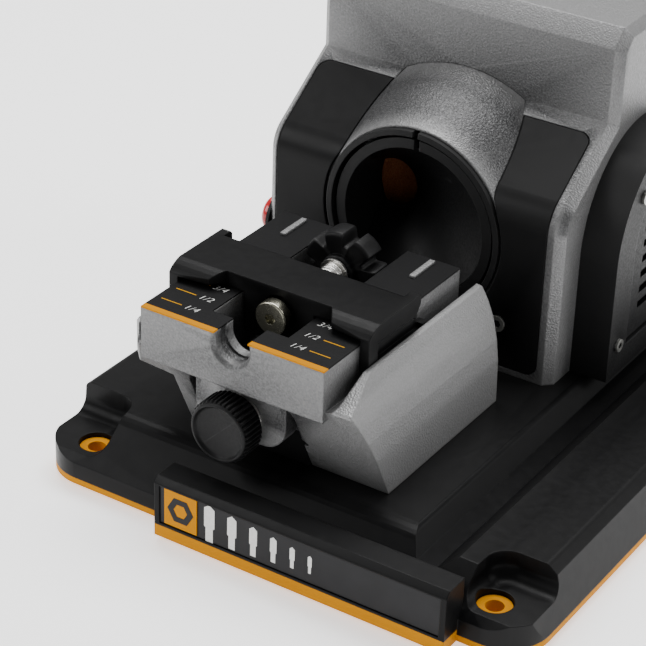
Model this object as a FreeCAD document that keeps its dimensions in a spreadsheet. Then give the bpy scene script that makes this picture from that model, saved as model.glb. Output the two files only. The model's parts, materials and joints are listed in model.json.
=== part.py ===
import FreeCAD, Part
import math
import os
import re
import Sketcher

# Bench drill bit sharpener, millimetres.
# Origin: centre of the underside of the feet.  +Z up, front (operator's side) towards -Y,
# +X to the operator's right.  The drill and the grinding port share one axis height.

doc = FreeCAD.newDocument("drill_bit_sharpener")
sheet = doc.addObject("Spreadsheet::Sheet", "dims")

DIMS = {
    # base casting and the tray under it
    "base_left": -140, "base_right": 140, "base_front": -161, "base_back": 173,
    "tray_low": 3, "deck_low": 6.5, "tray_step": 9, "deck_high": 36, "pad_high": 33, "tab_high": 19,
    "pad_top": 16.5,
    "bump_left": -57, "bump_right": 105, "bump_front": -173,
    "hole_rad": 9, "bolt_rad": 4.5, "hole_x": 114.5, "hole_front": -144, "hole_back": 149,
    "tab_right": -103, "tab_back": -122, "platform_right": 67, "groove_left": 74,
    "groove_right": 85, "pad_left": 93, "groove_low": 27, "ridge": -137, "foot_rad": 10, "corner_rad": 24,
    # dovetail key and its threaded post
    "block_x": -31.7, "key_neck": 30.4, "key_flare": 32.7, "key_waist": 51.4, "key_top": 57,
    "key_front": -121.5, "key_back": -30, "slide_gap": 0.35, "post_half": 8, "post_top": 69,
    # setting block
    "block_front": -147, "block_back": -24.3, "rail_half": 52, "rail_top": 109,
    "channel_half": 21.7, "channel_low": 78, "front_wall": 16.2, "slot_half": 9.7, "axis_high": 104,
    "plate_thick": 0.8, "strip_wide": 3.6, "block_low": 36.3, "lean_back": 27, "head_low": 87,
    "foot_left": -72, "foot_right": 42, "block_rear": -17,
    # carriage
    "carriage_front": -107, "ear_front": -117, "carriage_back": -78.4, "ear_back": -71,
    "ear_foot_back": -63, "ear_half": 57.4, "ear_low": 95, "bar_top": 117.5, "visor_low": 112.6,
    "carriage_gap": 0.35, "bracket_half": 20, "bracket_low": 88,
    "cap_rad": 8.8, "cap_face": -114.4, "cap_thick": 6.5, "stem_rad": 5, "stem_end": -86,
    "screw_rad": 3, "screw_front": -97, "screw_end": -38.5,
    "spring_rad": 6, "spring_wire": 1.2, "spring_back": -58.6, "washer_thick": 1.2,
    "star_front": -55, "star_thick": 14, "star_rad": 21, "star_core": 15.5,
    # feed knob
    "knob_high": 61.5, "knob_face": -157, "knob_rad": 16.6, "knob_long": 15, "hub_rad": 11.5,
    "lug_front": -138, "lug_thick": 10.5, "lug_half": 26, "lug_low": 50, "feed_rad": 4, "feed_end": -70,
    # head casting and its front panel
    "head_left": -118, "head_right": 58, "head_front": 10, "head_back": 160,
    "bend_high": 131, "shelf_back": 59, "shelf_high": 165.5, "head_high": 214, "shell": 5,
    "panel_left": -112, "panel_right": 49.3, "panel_low": 39.5, "panel_thick": 2.5, "panel_back": 52,
    "seam": 0.4, "bevel": 4.6, "bend_rad": 20,
    # sharpening port
    "port_x": -29, "barrel_rad": 52.9, "barrel_flare": 0.39, "barrel_bore": 46.6,
    "barrel_front": 13, "barrel_back": 50,
    "collar_rad": 51.6, "collar_bore": 48.4, "collar_front": 10, "collar_back": 24,
    "liner_rad": 46.6, "liner_bore": 41, "liner_front": 12, "liner_back": 48, "split_gap": 3.2,
    "guide_front": 14.5, "window_x": -62, "window_rad": 12.5,
    # grinding drive
    "drive_y": 97, "wheel_left": -76, "wheel_thick": 24, "wheel_big": 39, "wheel_slope": 0.6,
    "shaft_rad": 6, "shaft_left": -92, "shaft_right": 72, "motor_left": -14, "motor_right": 49.5,
    "motor_rad": 42, "rotor_rad": 22, "stator_rad": 38.9, "rotor_left": 4,
    "rotor_long": 28, "bearing_rad": 14, "bearing_wide": 9, "fan_rad": 33, "fan_left": 61,
    "air_gap": 0.6,
    # motor end cover on the right side
    "arch_half": 58, "arch_y": 90, "arch_z": 102, "arch_out": 79, "arch_rim": 20, "arch_wall": 3,
    # switch and inlet
    "button_y": 25, "button_z": 76, "button_rad": 10, "button_out": 10, "bezel_rad": 13.5,
    "bezel_thick": 2, "inlet_x": -60, "inlet_z": 70,
}
for row, (alias, value) in enumerate(DIMS.items(), start=1):
    sheet.set(f"A{row}", alias)
    sheet.set(f"B{row}", str(value))
    sheet.setAlias(f"B{row}", alias)
doc.recompute()

ALIAS = re.compile(r"\b(" + "|".join(sorted(DIMS, key=len, reverse=True)) + r")\b")


def bound(text):
    """Turn an expression in plain dimension names into one that reads the sheet."""
    return ALIAS.sub(r"dims.\1", str(text))


def value(text):
    """The number that an expression gives, for the first value of a constraint."""
    sheet.set("D1", "=" + bound(text).replace("dims.", ""))
    sheet.recompute()
    return float(sheet.get("D1"))


def bind(obj, **properties):
    for name, text in properties.items():
        obj.setExpression(name.replace("__", "."), bound(text))
    return obj


def place(obj, x=0, y=0, z=0):
    for axis, text in zip("xyz", (x, y, z)):
        obj.setExpression(f"Placement.Base.{axis}", bound(text))
    return obj


def fresh(kind, name):
    return doc.addObject(kind, name)


def box(name, x, y, z, long, wide, high):
    obj = fresh("Part::Box", name)
    bind(obj, Length=long, Width=wide, Height=high)
    return place(obj, x, y, z)


TURNS = {"x": FreeCAD.Rotation(FreeCAD.Vector(0, 1, 0), 90),
         "y": FreeCAD.Rotation(FreeCAD.Vector(1, 0, 0), -90),
         "z": FreeCAD.Rotation()}


def rod(name, axis, x, y, z, radius, length):
    """A cylinder that starts at x, y, z and runs along the positive axis."""
    obj = fresh("Part::Cylinder", name)
    bind(obj, Radius=radius, Height=length)
    obj.Placement.Rotation = TURNS[axis]
    return place(obj, x, y, z)


def cone(name, axis, x, y, z, radius, end_radius, length):
    obj = fresh("Part::Cone", name)
    bind(obj, Radius1=radius, Radius2=end_radius, Height=length)
    obj.Placement.Rotation = TURNS[axis]
    return place(obj, x, y, z)


def join(name, *pieces):
    obj = fresh("Part::MultiFuse", name)
    obj.Shapes = list(pieces)
    obj.Refine = True
    return obj


def cut(name, base, *tools):
    obj = fresh("Part::Cut", name)
    obj.Base = base
    obj.Tool = tools[0] if len(tools) == 1 else join(name + "_tools", *tools)
    obj.Refine = True
    return obj


def common(name, *pieces):
    obj = fresh("Part::MultiCommon", name)
    obj.Shapes = list(pieces)
    return obj


def tube(name, axis, x, y, z, outer, inner, length):
    return cut(name, rod(name + "_outer", axis, x, y, z, outer, length),
               rod(name + "_bore", axis, x, y, z, inner, length))


def edge_names(shape, test):
    return [i for i, edge in enumerate(shape.Edges, start=1) if test(edge)]


def round_edges(name, base, radius, test, kind="Part::Fillet"):
    """Fillet or chamfer the edges that pass the test."""
    doc.recompute()
    obj = fresh(kind, name)
    obj.Base = base
    obj.Edges = [(i, radius, radius) for i in edge_names(base.Shape, test)]
    return obj


def along(axis, **where):
    """Test for straight edges along an axis whose middle has the given coordinates."""
    def test(edge):
        if edge.Curve.TypeId != "Part::GeomLine":
            return False
        step = edge.Vertexes[-1].Point - edge.Vertexes[0].Point
        if abs(abs(getattr(step, axis)) - edge.Length) > 1e-4:
            return False
        middle = edge.CenterOfMass
        return all(any(abs(getattr(middle, key) - v) < 0.05 for v in vals)
                   for key, vals in where.items())
    return test


PLANES = {"x": "YZ_Plane", "y": "XZ_Plane", "z": "XY_Plane"}


def outline(name, axis, points, start, length, holes=()):
    """Pad a polygon, drawn on the origin plane across the axis, from start along +axis.

    points are pairs of expressions: (y, z) for axis x, (x, z) for y and (x, y) for z.
    holes are triples (centre, centre, radius) of expressions.
    """
    body = fresh("PartDesign::Body", name)
    sketch = body.newObject("Sketcher::SketchObject", name + "_sketch")
    plane = [f for f in body.Origin.OriginFeatures if f.Role == PLANES[axis]][0]
    sketch.AttachmentSupport = [(plane, "")]
    sketch.MapMode = "FlatFace"
    sign = "-1 * " if axis == "y" else ""
    sketch.setExpression("AttachmentOffset.Base.z", sign + "(" + bound(start) + ")")
    corners = [FreeCAD.Vector(value(u), value(v), 0) for u, v in points]
    count = len(corners)
    for i in range(count):
        sketch.addGeometry(Part.LineSegment(corners[i], corners[(i + 1) % count]), False)
    for i in range(count):
        sketch.addConstraint(Sketcher.Constraint("Coincident", i, 2, (i + 1) % count, 1))
    for i, (u, v) in enumerate(points):
        for kind, text in (("DistanceX", u), ("DistanceY", v)):
            index = sketch.addConstraint(Sketcher.Constraint(kind, -1, 1, i, 1, value(text)))
            sketch.setExpression(f"Constraints[{index}]", bound(text))
    for u, v, r in holes:
        circle = Part.Circle(FreeCAD.Vector(value(u), value(v), 0), FreeCAD.Vector(0, 0, 1),
                             value(r))
        geo = sketch.addGeometry(circle, False)
        for kind, args, text in (("DistanceX", (-1, 1, geo, 3), u), ("DistanceY", (-1, 1, geo, 3), v),
                                 ("Radius", (geo,), r)):
            index = sketch.addConstraint(Sketcher.Constraint(kind, *args, value(text)))
            sketch.setExpression(f"Constraints[{index}]", bound(text))
    pad = body.newObject("PartDesign::Pad", name + "_pad")
    pad.Profile = sketch
    pad.Reversed = axis == "y"
    pad.setExpression("Length", bound(length))
    body.Tip = pad
    return body


def mirror_x(text):
    """The same distance on the other side of the setting block's middle plane."""
    return f"2 * block_x - ({text})"


# ---------------------------------------------------------------- base

def pocket_foot(corner_x, corner_y):
    """Test for the bottom edges of a tab pocket, on the two sides that meet the platform."""
    def test(edge):
        middle, box = edge.CenterOfMass, edge.BoundBox
        if box.ZLength > 0.01 or abs(middle.z - DIMS["tab_high"]) > 0.01:
            return False
        near_x = abs(middle.x - corner_x) < 4 and abs(middle.y - corner_y) < 30
        near_y = abs(middle.y - corner_y) < 4 and abs(middle.x - corner_x) < 30
        return near_x or near_y
    return test


def deck():
    """Black base casting: platform, drain groove, right-hand pad, corner tabs and front boss."""
    profile = [("base_left", "deck_low"), ("base_right", "deck_low"),
               ("base_right - 6", "pad_high - 4"), ("base_right - 11", "pad_high"),
               ("pad_left", "pad_high"), ("groove_right", "groove_low"),
               ("groove_left", "groove_low"), ("platform_right", "deck_high"),
               ("base_left + 2", "deck_high")]
    slab = outline("deck_slab", "y", profile, "base_front", "base_back - base_front")
    crest = [(f"ridge + {5.2 - 14 * math.sin(turn)}", f"deck_high + {14 * math.cos(turn) - 14}")
             for turn in (0.71, 0.53, 0.35, 0.18, 0.0)]
    slope = outline("deck_front_slope", "x",
                    [("base_front - 1", "deck_low + 8"), *crest, ("ridge + 5.2", "deck_high + 9"),
                     ("base_front - 1", "deck_high + 9")],
                    "base_left - 1", "base_right - base_left + 2")
    corner = box("deck_corner_block", "base_left", "base_front", "deck_low - 1",
                 "base_right - base_left", "base_back - base_front", "deck_high - deck_low + 2")
    corner = round_edges("deck_corners", corner, DIMS["corner_rad"],
                         along("z", x=(DIMS["base_left"], DIMS["base_right"]),
                               y=(DIMS["base_front"], DIMS["base_back"])))
    slab = round_edges("deck_soft", slab, 4,
                       along("y", x=(DIMS["base_left"] + 2, DIMS["platform_right"],
                                     DIMS["base_right"] - 11), z=(DIMS["deck_high"],
                                                                  DIMS["pad_high"])))
    body = cut("deck_sloped", common("deck_rounded", slab, corner), slope)
    pockets = []
    for side in ("left", "right"):
        for end in ("front", "back"):
            x = "base_left - 1" if side == "left" else "-1 * tab_right"
            y = "base_front - 1" if end == "front" else "base_back - 39"
            name = f"tab_pocket_{side}_{end}"
            block = box(name + "_box", x, y, "tab_high", "tab_right - base_left + 1", "40", "20")
            corner_x = DIMS["tab_right"] if side == "left" else -DIMS["tab_right"]
            corner_y = DIMS["tab_back"] if end == "front" else DIMS["base_back"] - 39
            upright = along("z", x=(corner_x,), y=(corner_y,))
            block = round_edges(name + "_upright", block, 12, upright)
            pockets.append(round_edges(name, block, 8, pocket_foot(corner_x, corner_y)))
    body = cut("deck_tabs", body, *pockets)
    boss = box("deck_boss", "bump_left", "bump_front", "tray_step + 0.5", "bump_right - bump_left",
               "16", "deck_high - tray_step - 0.5")
    boss = round_edges("deck_boss_bevel", boss, 3,
                       along("x", y=(DIMS["bump_front"],), z=(DIMS["deck_high"],)), "Part::Chamfer")
    body = join("deck_with_boss", body, boss)
    label = box("label_recess", "bump_left + 3", "bump_front - 1", "tray_step + 2",
                "bump_right - bump_left - 6", "2.2", "deck_high - tray_step - 6")
    inner = [
        box("void_middle", "-95", "base_front + 16", "deck_low - 1", "190", "base_back - base_front - 24",
            "groove_low - deck_low - 3"),
        box("void_sides", "base_left + 5", "tab_back + 5", "deck_low - 1", "base_right - base_left - 10",
            "base_back - tab_back - 49", "groove_low - deck_low - 3"),
        box("void_platform", "base_left + 8", "tab_back + 6", "groove_low - 5",
            "platform_right - base_left - 14", "base_back - tab_back - 51",
            "deck_high - groove_low + 1"),
    ]
    holes = [rod(f"deck_hole_{i}", "z", x, y, "deck_low - 1", "hole_rad", "20")
             for i, (x, y) in enumerate(HOLES)]
    body = cut("deck_hollow", body, label, *inner, *holes)
    posts = []
    for i, (x, y) in enumerate(TRAY_SCREWS):
        under_platform = x.startswith("-") and y != TRAY_FRONT
        top = "deck_high - 3" if under_platform else "groove_low - 2"
        posts.append(rod(f"deck_post_{i}", "z", x, y, "deck_low", "6", f"{top} - deck_low"))
    posts += [rod(f"key_post_{i}_under", "z", x, y, "deck_high - 12", "7", "9")
              for i, (x, y) in enumerate(KEY_SCREWS)]
    body = join("deck_posts", body, *posts)
    pilots = [rod(f"deck_pilot_{i}", "z", x, y, "deck_low - 1", "1.6", "13")
              for i, (x, y) in enumerate(TRAY_SCREWS)]
    pilots += [rod(f"key_pilot_{i}", "z", x, y, "deck_high - 9", "2.5", "12")
               for i, (x, y) in enumerate(KEY_SCREWS)]
    pilots += [rod(f"head_pilot_{i}", "z", x, y, "deck_high - 5", "2.5", "6")
               for i, (x, y) in enumerate(HEAD_SCREWS)]
    pilots += [rod(f"head_sink_{i}", "z", x, y, "deck_low - 1", "5", "deck_high - deck_low - 3")
               for i, (x, y) in enumerate(HEAD_SCREWS)]
    return cut("base_deck", body, *pilots)


HOLES = [(x, y) for x in ("-1 * hole_x", "hole_x") for y in ("hole_front", "hole_back")]
TRAY_FRONT = "-140"
TRAY_SCREWS = [(x, y) for x in ("-84", "84") for y in (TRAY_FRONT, "0", "150")]
KEY_SCREWS = [("block_x", y) for y in ("-95", "-50")]
HEAD_SCREWS = [(x, y) for x in ("head_left + 10", "head_right - 10")
               for y in ("head_front + 18", "head_back - 16")]


def tray():
    """Orange tray that closes the underside and shows as a line round the base."""
    plate = box("tray_plate", "base_left", "base_front", "tray_low", "base_right - base_left",
                "base_back - base_front", "deck_low - tray_low")
    corner = along("z", x=(DIMS["base_left"], DIMS["base_right"]),
                   y=(DIMS["base_front"], DIMS["base_back"]))
    plate = round_edges("tray_plate_round", plate, DIMS["corner_rad"], corner)
    bump = box("tray_bump", "bump_left", "bump_front", "tray_low", "bump_right - bump_left", "12",
               "tray_step + 0.5 - tray_low")
    pads = [rod(f"tray_pad_{i}", "z", x, y, "tray_low", "hole_rad - 0.4", "pad_top - tray_low")
            for i, (x, y) in enumerate(HOLES)]
    body = join("tray_solid", plate, bump, *pads)
    holes = [rod(f"tray_hole_{i}", "z", x, y, "tray_low - 1", "bolt_rad", "pad_top - tray_low + 2")
             for i, (x, y) in enumerate(HOLES)]
    holes += [rod(f"tray_screw_hole_{i}", "z", x, y, "tray_low - 1", "1.8", "10")
              for i, (x, y) in enumerate(TRAY_SCREWS)]
    holes += [rod(f"tray_screw_sink_{i}", "z", x, y, "tray_low - 1", "3.4", "2.8")
              for i, (x, y) in enumerate(TRAY_SCREWS)]
    return cut("under_tray", body, *holes)


def feet():
    spots = [(x, y) for x in ("-62", "62") for y in ("-140", "150")]
    pads = [cone(f"foot_{i}", "z", x, y, "0", "foot_rad - 1", "foot_rad", "tray_low")
            for i, (x, y) in enumerate(spots)]
    return join("rubber_feet", *pads)


def screws(name, axis, spots, head_rad, head_long, shank_rad, shank_long, inward=1):
    """A group of alike socket screws: head first, then the shank, along +axis (or -axis)."""
    made = []
    for i, (x, y, z) in enumerate(spots):
        start = {"x": x, "y": y, "z": z}
        head_at = dict(start)
        shank_at = dict(start)
        if inward > 0:
            shank_at[axis] = f"{start[axis]} + {head_long}"
        else:
            head_at[axis] = f"{start[axis]} - {head_long}"
            shank_at[axis] = f"{start[axis]} - {head_long} - {shank_long}"
        head = rod(f"{name}_head_{i}", axis, head_at["x"], head_at["y"], head_at["z"],
                   head_rad, head_long)
        socket_at = dict(head_at)
        depth = f"{head_long} * 0.55"
        if inward > 0:
            socket_at[axis] = f"{start[axis]} - 0.01"
        else:
            socket_at[axis] = f"{start[axis]} - {depth} + 0.01"
        socket = prism(f"{name}_socket_{i}", axis, socket_at, f"{head_rad} * 0.5", depth)
        shank = rod(f"{name}_shank_{i}", axis, shank_at["x"], shank_at["y"], shank_at["z"],
                    shank_rad, shank_long)
        made.append(join(f"{name}_{i}", cut(f"{name}_drilled_{i}", head, socket), shank))
    return join(name, *made)


def prism(name, axis, at, radius, length, sides=6):
    obj = fresh("Part::Prism", name)
    obj.Polygon = sides
    bind(obj, Circumradius=radius, Height=length)
    obj.Placement.Rotation = TURNS[axis]
    return place(obj, at["x"], at["y"], at["z"])


def name_plate():
    return box("name_plate", "bump_left + 3.2", "bump_front + 0.6", "tray_step + 2.2",
               "bump_right - bump_left - 6.4", "0.6", "deck_high - tray_step - 6.4")


def badge():
    return box("badge", "bump_left + 6", "bump_front", "tray_step + 3", "19", "0.6", "20")


def dovetail_key():
    """Key that the setting block slides on, with the threaded post for the feed screw."""
    half = "key_neck - slide_gap"
    flare = "key_flare - slide_gap"
    profile = [(f"block_x - ({half})", "deck_high"), (f"block_x + {half}", "deck_high"),
               (f"block_x + {half}", "key_waist + slide_gap"),
               (f"block_x + {flare}", "key_waist + slide_gap"),
               (f"block_x + {flare} - 4", "key_top"), (f"block_x - ({flare}) + 4", "key_top"),
               (f"block_x - ({flare})", "key_waist + slide_gap"),
               (f"block_x - ({half})", "key_waist + slide_gap")]
    rail = outline("key_rail", "y", profile, "key_front", "key_back - key_front")
    post = box("key_post", "block_x - post_half", "key_front", "key_top - 1", "2 * post_half", "13",
               "post_top - key_top + 1")
    body = join("key_solid", rail, post)
    tools = [rod("key_thread", "y", "block_x", "key_front - 1", "knob_high", "feed_rad + 0.08", "15")]
    for i, (x, y) in enumerate(KEY_SCREWS):
        tools.append(rod(f"key_sink_{i}", "z", x, y, "key_top - 6", "5", "8"))
        tools.append(rod(f"key_clear_{i}", "z", x, y, "deck_high - 1", "2.6", "key_top - deck_high"))
    return cut("dovetail_key", body, *tools)


# ---------------------------------------------------------------- setting block

def block():
    """Grey casting with the rail on top, a shoulder each side and a leaning front below."""
    body_profile = [("foot_left", "block_low"), ("foot_right", "block_low"),
                    ("foot_right - 0.6", "60"), ("foot_right - 2.2", "72"),
                    ("foot_right - 4.8", "83"), ("foot_right - 8.5", "92"),
                    ("foot_right - 12.5", "98.6"), ("foot_right - 14", "99"), ("26.1", "99"),
                    ("26.1", "90"), ("24", "87"), ("20", "86"), (mirror_x("20"), "86"),
                    (mirror_x("24"), "87"), (mirror_x("26.1"), "90"), (mirror_x("26.1"), "95"),
                    (mirror_x("29"), "95.5"), (mirror_x("33"), "91"), (mirror_x("33"), "75"),
                    (mirror_x("29"), "72"), ("foot_left", "70")]
    lower = outline("block_lower", "y", body_profile, "block_front + 1", "block_rear - block_front - 1")
    flanks = [(value(u), value(v)) for u, v in body_profile[2:6]]

    def on_flank(edge):
        middle = edge.CenterOfMass
        return edge.Length > 100 and any(math.hypot(middle.x - u, middle.z - v) < 0.05 for u, v in flanks)
    lower = round_edges("block_lower_soft", lower, 28, on_flank)
    lean = outline("block_lean", "x",
                   [("block_front - 2", "head_low"), ("block_front - 2", "block_low - 1"),
                    ("block_front + lean_back", "block_low - 1"),
                    ("block_front + 2", "head_low")],
                   "-110", "170")
    lower = cut("block_lower_lean", lower, lean)
    ramp = outline("block_ramp", "x",
                   [("block_front - 2", "head_low + 0.5"), ("block_front + 30", "101"),
                    ("block_front + 30", "112"), ("block_front - 2", "112")],
                   "block_x + rail_half + 0.2", "40")
    left_nose = outline("block_left_nose", "z",
                        [("-102", "block_front - 1"), ("-86", "block_front - 1"),
                         ("-91", "block_front + 9"), ("-102", "block_front + 18")],
                        "block_low - 1", "80")
    lower = cut("block_lower_ramped", lower, ramp, left_nose)
    rail = box("block_rail", "block_x - rail_half", "block_front", "head_low - 6", "2 * rail_half",
               "block_back - block_front", "rail_top - plate_thick - head_low + 6")
    body = join("block_mass", lower, rail)
    recess = box("block_recess", "block_x - key_neck", "block_front - 1", "key_top - 1",
                 "2 * key_neck", "lug_front + lug_thick - block_front + 1", "79 - key_top")
    recess = round_edges("block_recess_round", recess, 9, along("y", z=(78,)))
    lug = box("block_lug_box", "block_x - lug_half", "lug_front", "lug_low", "2 * lug_half",
              "lug_thick", "80 - lug_low")
    lug = round_edges("block_lug", lug, 13, along("y", z=(DIMS["lug_low"],)))
    flare = "key_flare"
    slot_profile = [("block_x - key_neck", "block_low - 1"), ("block_x + key_neck", "block_low - 1"),
                    ("block_x + key_neck", "key_waist"), (f"block_x + {flare}", "key_waist"),
                    (f"block_x + {flare}", "key_waist + 2"),
                    (f"block_x + {flare} - 5", "key_top + 1"), ("block_x + post_half + 1.5", "key_top + 1"),
                    ("block_x + post_half + 1.5", "post_top + 1"),
                    ("block_x - post_half - 1.5", "post_top + 1"),
                    ("block_x - post_half - 1.5", "key_top + 1"), (f"block_x - {flare} + 5", "key_top + 1"),
                    (f"block_x - {flare}", "key_waist + 2"), (f"block_x - {flare}", "key_waist"),
                    ("block_x - key_neck", "key_waist")]
    slot = outline("block_slot", "y", slot_profile, "block_front - 1", "block_rear - block_front + 2")
    channel = box("block_channel", "block_x - channel_half", "block_front + front_wall", "channel_low",
                  "2 * channel_half", "block_rear - block_front", "40")
    notch = box("block_notch", "block_x - slot_half", "block_front - 1", "axis_high", "2 * slot_half",
                "front_wall + 2", "20")
    notch_round = rod("block_notch_round", "y", "block_x", "block_front - 1", "axis_high", "slot_half",
                      "front_wall + 2")
    mouth = cone("block_mouth", "y", "block_x", "block_front - 0.01", "axis_high", "slot_half + 2",
                 "slot_half", "2")
    step = rod("block_step", "y", "block_x", "block_front + 6", "axis_high", "slot_half + 1.2", "5")
    body = cut("block_cut", body, slot, recess, channel, notch, notch_round, mouth, step)
    body = join("block_lugged", body, lug)
    bore = rod("block_bore", "y", "block_x", "lug_front - 1", "knob_high", "feed_rad + 0.2",
               "lug_thick + 40")
    return cut("setting_block", body, bore)


def plate_half(name, side):
    """Black top plate on one side of the channel, stepping in over the front wall."""
    def x(distance):
        text = f"block_x + {distance}"
        return text if side == "right" else mirror_x(text)
    points = [(x("slot_half"), "block_front + strip_wide"), (x("rail_half"), "block_front + strip_wide"),
              (x("rail_half"), "block_back"), (x("channel_half"), "block_back"),
              (x("channel_half"), "block_front + front_wall"), (x("slot_half"), "block_front + front_wall")]
    if side == "left":
        points.reverse()
    return outline(name, "z", points, "rail_top - plate_thick", "plate_thick")


def strips():
    long = "rail_half - slot_half"
    left = box("strip_left", "block_x - rail_half", "block_front", "rail_top - plate_thick", long,
               "strip_wide", "plate_thick")
    right = box("strip_right", "block_x + slot_half", "block_front", "rail_top - plate_thick", long,
                "strip_wide", "plate_thick")
    return join("edge_strips", left, right)


def rest_ribs():
    ribs = []
    for side, x in (("left", "block_x - 39.5"), ("right", "block_x + 36.5")):
        rib = box(f"rib_{side}", x, "block_back - 23", "rail_top", "3", "20", "1.4")
        ribs.append(rib)
    return join("rest_ribs", *ribs)


# ---------------------------------------------------------------- carriage

def carriage():
    """Black slide: flat bar over the rail, an ear down each side and a bracket in the channel."""
    bar = box("carriage_bar", "block_x - ear_half", "carriage_front", "rail_top + carriage_gap",
              "2 * ear_half", "carriage_back - carriage_front", "bar_top - rail_top - carriage_gap")
    pieces = [bar]
    bend = [("carriage_front - 1", "bar_top"), ("carriage_front - 3.5", "bar_top - 0.6"),
            ("carriage_front - 6", "bar_top - 1.7"), ("carriage_front - 8", "bar_top - 2.9"),
            ("ear_front + 0.6", "bar_top - 4.2"), ("ear_front", "visor_low")]
    for side in ("left", "right"):
        def x(distance):
            text = f"block_x + {distance}"
            return text if side == "right" else mirror_x(text)
        lip = outline(f"visor_lip_{side}", "x",
                      [("ear_front", "visor_low - 1.2"), ("carriage_front - 3", "visor_low - 1.2"),
                       ("carriage_front - 1", "rail_top + carriage_gap"),
                       ("carriage_front + 1", "rail_top + carriage_gap"),
                       ("carriage_front + 1", "bar_top"), *bend], "block_x - ear_half", "2 * ear_half")
        plan = [(x("ear_half"), "ear_front"), (x("ear_half"), "carriage_front + 1"),
                (x("29.5"), "carriage_front + 1"), (x("30"), "carriage_front"),
                (x("35"), "ear_front + 2"), (x("52"), "ear_front")]
        if side == "left":
            plan.reverse()
        visor = common(f"visor_{side}", lip,
                       outline(f"visor_plan_{side}", "z", plan, "rail_top", "bar_top - rail_top + 1"))
        wall = "block_x - ear_half" if side == "left" else "block_x + rail_half + carriage_gap"
        cheek = outline(f"cheek_{side}", "x",
                        [("ear_front", "ear_low"), ("ear_foot_back", "ear_low"),
                         ("ear_foot_back", "ear_low + 4"), ("ear_back + 1", "ear_low + 5.5"),
                         ("ear_back - 3", "ear_low + 9"), ("ear_back - 3", "ear_low + 13"),
                         ("ear_back", "ear_low + 17"), ("ear_back", "bar_top - 1.5"),
                         ("ear_back - 1.5", "bar_top"), *bend],
                        wall, "ear_half - rail_half - carriage_gap")
        pieces += [visor, cheek]
    bracket = box("carriage_bracket", "block_x - bracket_half", "carriage_front", "bracket_low",
                  "2 * bracket_half", "carriage_back - carriage_front", "rail_top - bracket_low + 2")
    body = join("carriage_solid", *pieces, bracket)
    bore = rod("carriage_bore", "y", "block_x", "carriage_front - 1", "axis_high", "stem_rad + 0.06",
               "carriage_back - carriage_front + 2")
    sink = rod("carriage_sink", "y", "block_x", "carriage_front - 1", "axis_high", "cap_rad + 0.5",
               "4.2")
    tools = [bore, sink]
    for side in ("left", "right"):
        x = "block_x - ear_half - 1" if side == "left" else "block_x + ear_half - 2.4"
        tools.append(outline(f"grip_{side}", "x",
                             [("ear_front + 8", "ear_low + 3.5"), ("ear_foot_back - 4", "ear_low + 3"),
                              ("ear_back - 6", "ear_low + 12"), ("ear_front + 8", "ear_low + 13")],
                             x, "3.4"))
    return cut("carriage", body, *tools)


def stop_button():
    cap = rod("stop_cap", "y", "block_x", "cap_face", "axis_high", "cap_rad", "cap_thick")
    cap = round_edges("stop_cap_round", cap, 0.9, lambda edge: abs(edge.Length) > 20)
    stem = rod("stop_stem", "y", "block_x", "cap_face + cap_thick - 1", "axis_high", "stem_rad",
               "stem_end - cap_face - cap_thick + 1")
    body = join("stop_solid", cap, stem)
    socket = prism("stop_socket", "y", {"x": "block_x", "y": "cap_face - 1", "z": "axis_high"}, "3", "4.5")
    bore = rod("stop_bore", "y", "block_x", "screw_front - 3", "axis_high", "screw_rad + 0.06",
               "stem_end - screw_front + 4")
    return cut("stop_button", body, socket, bore)


def adjuster_screw():
    return rod("adjuster_screw", "y", "block_x", "screw_front", "axis_high", "screw_rad",
               "screw_end - screw_front")


def adjuster_spring():
    """Coil spring between the carriage and the star knob, made of closed rings of wire."""
    rings = []
    count = 7
    for i in range(count):
        ring = fresh("Part::Torus", f"spring_turn_{i}")
        bind(ring, Radius1="spring_rad - spring_wire / 2", Radius2="spring_wire / 2")
        ring.Placement.Rotation = TURNS["y"]
        step = f"(spring_back - carriage_back - spring_wire) / {count - 1}"
        place(ring, "block_x", f"carriage_back + spring_wire / 2 + {i} * {step}", "axis_high")
        rings.append(ring)
    link = tube("spring_core", "y", "block_x", "carriage_back", "axis_high",
                "spring_rad - spring_wire * 0.45", "spring_rad - spring_wire * 0.75",
                "spring_back - carriage_back")
    return join("adjuster_spring", link, *rings)


def adjuster_washer():
    return tube("adjuster_washer", "y", "block_x", "spring_back", "axis_high", "8", "screw_rad + 0.1",
                "washer_thick")


def star_knob():
    core = rod("star_core_solid", "y", "block_x", "star_front", "axis_high", "star_core", "star_thick")
    hub = rod("star_hub", "y", "block_x", "spring_back + washer_thick + 0.05", "axis_high", "9.5", "5")
    lobes = []
    count = 7
    for i in range(count):
        angle = 360.0 * i / count
        lobes.append(rod(f"star_lobe_{i}", "y", f"block_x + (star_rad - 5) * cos({angle} deg)",
                         "star_front", f"axis_high + (star_rad - 5) * sin({angle} deg)", "5",
                         "star_thick"))
    body = join("star_solid", core, hub, *lobes)
    bore = rod("star_bore", "y", "block_x", "star_front - 10", "axis_high", "screw_rad", "40")
    return cut("star_knob", body, bore)


# ---------------------------------------------------------------- feed

def feed_knob():
    body = rod("knob_solid", "y", "block_x", "knob_face", "knob_high", "knob_rad", "knob_long")
    hub = rod("knob_hub_solid", "y", "block_x", "knob_face + knob_long", "knob_high", "hub_rad", "3")
    dish = rod("knob_dish", "y", "block_x", "knob_face - 1", "knob_high", "knob_rad - 2.4", "2.6")
    bore = rod("knob_bore", "y", "block_x", "knob_face + 6", "knob_high", "feed_rad", "20")
    return cut("feed_knob", join("knob_joined", body, hub), dish, bore)


def feed_washer():
    return tube("feed_washer", "y", "block_x", "knob_face + knob_long + 3", "knob_high", "12.6",
                "feed_rad + 0.1", "0.8")


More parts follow.
